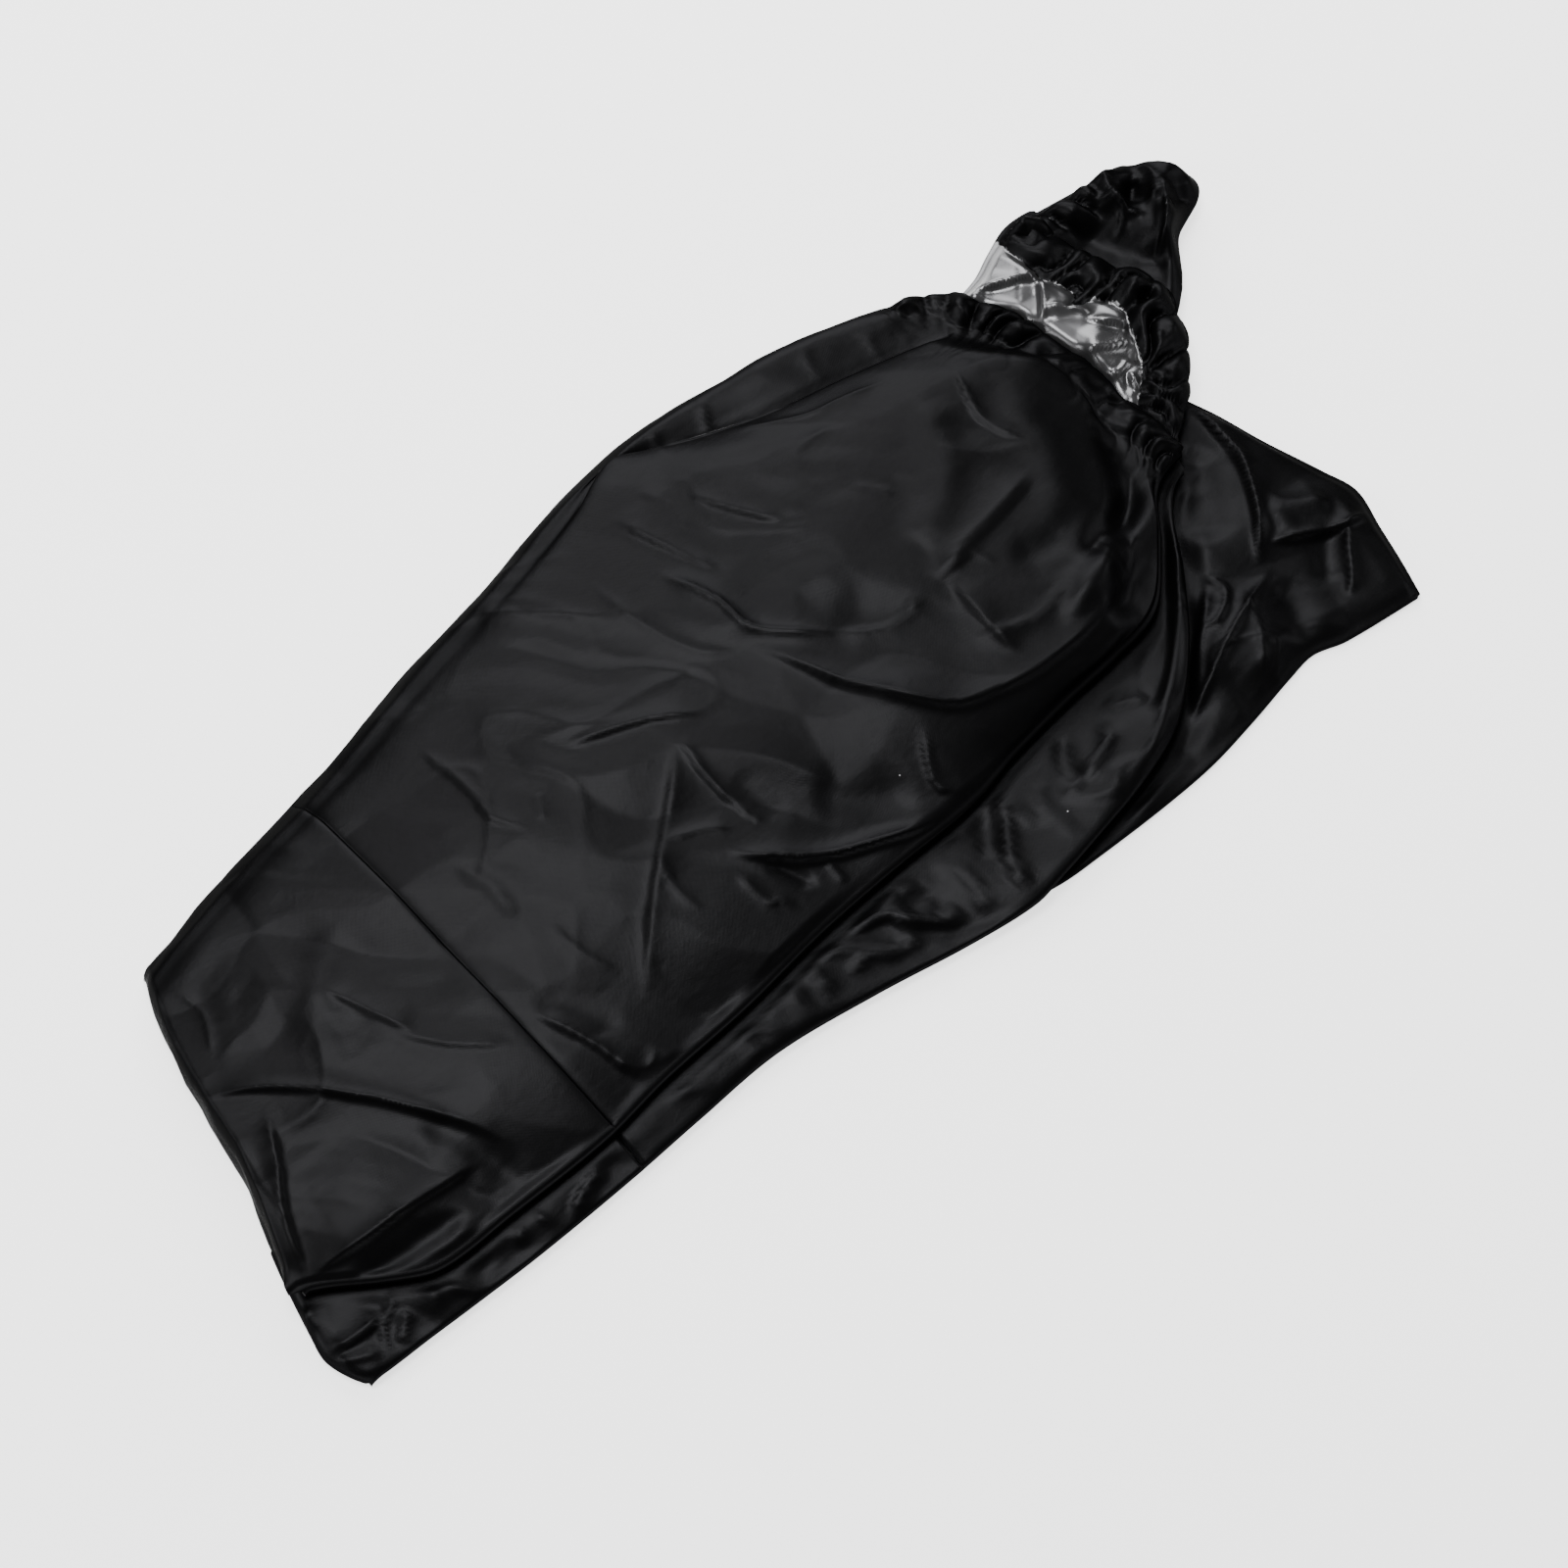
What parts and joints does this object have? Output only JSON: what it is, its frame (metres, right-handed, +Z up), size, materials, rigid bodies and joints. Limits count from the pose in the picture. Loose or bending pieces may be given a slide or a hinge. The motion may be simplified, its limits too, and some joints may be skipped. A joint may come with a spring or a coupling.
{
  "type": "folded inflatable pool cover",
  "caption": "Fitted round pool cover of black coated cloth with a silver inside and an elastic hem, folded lengthwise into a long flat bundle with its gathered mouth at one end.",
  "frame": {"origin": "middle of the folded bundle's box, on the surface that it lies on", "axes": "+X along the bundle towards the gathered mouth, +Y towards the rolled side, +Z up"},
  "size_m": [1.0188, 0.4542, 0.0571],
  "materials": {
    "coated_cloth": "satin"
  },
  "bodies": {
    "root": {"top_panel": "coated_cloth", "skirt": "coated_cloth"}
  },
  "joints": []
}
